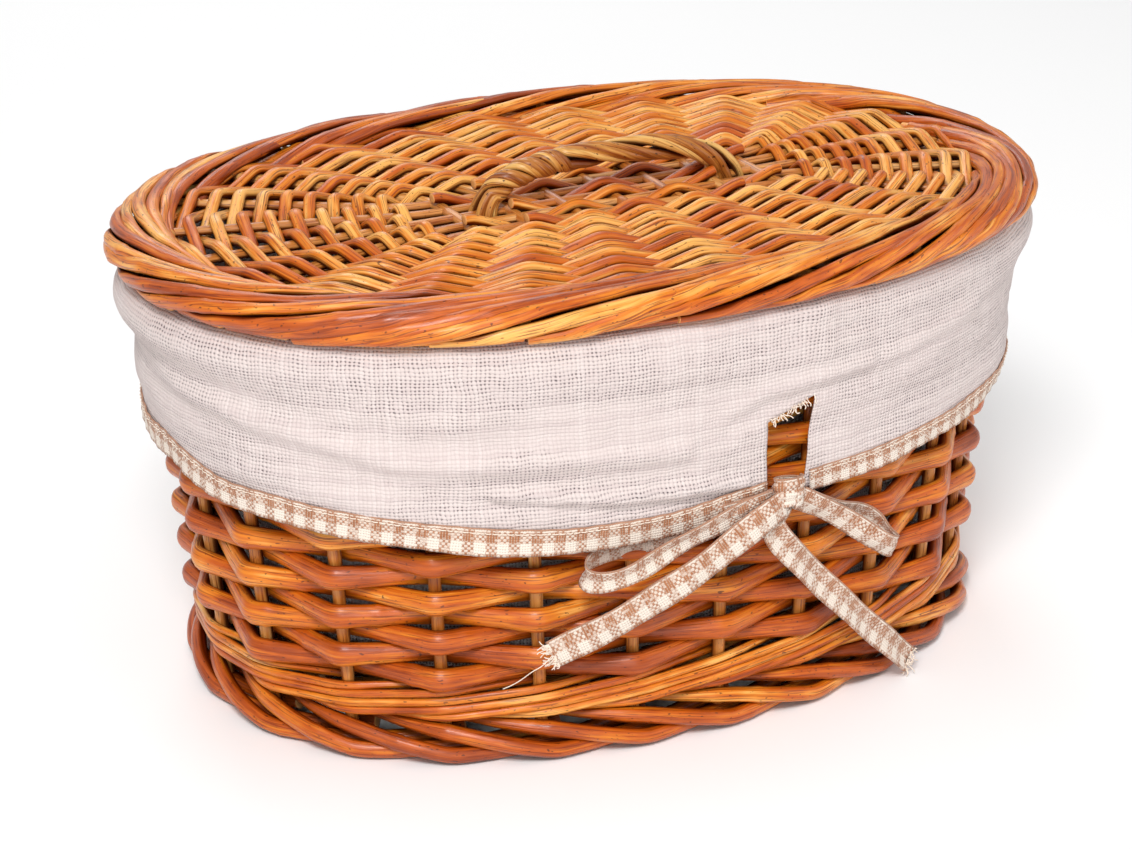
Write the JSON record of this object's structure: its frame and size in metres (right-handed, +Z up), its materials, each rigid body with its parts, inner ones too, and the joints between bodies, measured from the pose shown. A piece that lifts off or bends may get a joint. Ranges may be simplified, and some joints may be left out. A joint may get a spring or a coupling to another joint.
{
  "type": "lidded oval willow basket",
  "caption": "Oval woven willow laundry basket with a lift-off woven lid, a twisted handle and a linen liner folded over the rim and tied with gingham tape.",
  "frame": {"origin": "on the floor, under the middle of the lid's oval", "axes": "+Z up, +X along the basket's length, -Y towards the front with the slit and the bow"},
  "size_m": [0.42, 0.2909, 0.2227],
  "materials": {
    "willow_rods": "varnished satin willow",
    "willow_sticks": "varnished satin willow",
    "willow_handle": "twisted unpeeled willow, satin",
    "linen": "open plain-weave linen, matte",
    "gingham": "small gingham check, matte"
  },
  "bodies": {
    "basket": {"foot_rods_low_outer": "willow_rods", "foot_rods_low_inner": "willow_rods", "foot_rods_high_outer": "willow_rods", "foot_rods_high_inner": "willow_rods", "rim_rod_low_outer": "willow_rods", "rim_rod_low_inner": "willow_rods", "rim_rod_high_outer": "willow_rods", "rim_rod_high_inner": "willow_rods", "foot_wale": "willow_rods", "base_long_sticks": "willow_sticks", "base_cross_sticks": "willow_sticks", "base_weave": "willow_rods", "side_stakes": "willow_sticks", "side_weaver_01": "willow_rods", "side_weaver_02": "willow_rods", "side_weaver_03": "willow_rods", "side_weaver_04": "willow_rods", "side_weaver_05": "willow_rods", "side_weaver_06": "willow_rods", "side_weaver_07": "willow_rods", "side_weaver_08": "willow_rods", "side_weaver_09": "willow_rods", "side_weaver_10": "willow_rods", "side_weaver_11": "willow_rods", "side_weaver_12": "willow_rods", "side_weaver_13": "willow_rods", "side_weaver_14": "willow_rods", "side_weaver_15": "willow_rods", "side_weaver_16": "willow_rods", "liner_bottom": "linen", "liner_side": "linen", "liner_cuff": "linen", "hem_tape": "gingham", "bow_knot": "gingham", "bow_loop_left": "gingham", "bow_loop_right": "gingham", "bow_tail_left": "gingham", "bow_tail_right": "gingham"},
    "lid": {"lid_long_sticks": "willow_sticks", "lid_cross_sticks": "willow_sticks", "lid_filling_rods": "willow_rods", "lid_weave_01": "willow_rods", "lid_weave_02": "willow_rods", "lid_weave_03": "willow_rods", "lid_weave_04": "willow_rods", "lid_weave_05": "willow_rods", "lid_weave_06": "willow_rods", "lid_weave_07": "willow_rods", "lid_weave_08": "willow_rods", "lid_weave_09": "willow_rods", "lid_weave_10": "willow_rods", "lid_border_outer": "willow_rods", "lid_border_inner": "willow_rods", "lid_handle_strand_a": "willow_handle", "lid_handle_strand_b": "willow_handle"}
  },
  "joints": [
    {"name": "lid_lift", "type": "slide", "parent": "basket", "child": "lid", "axis": [0, 0, 1], "range_m": [0, 0.2]}
  ]
}
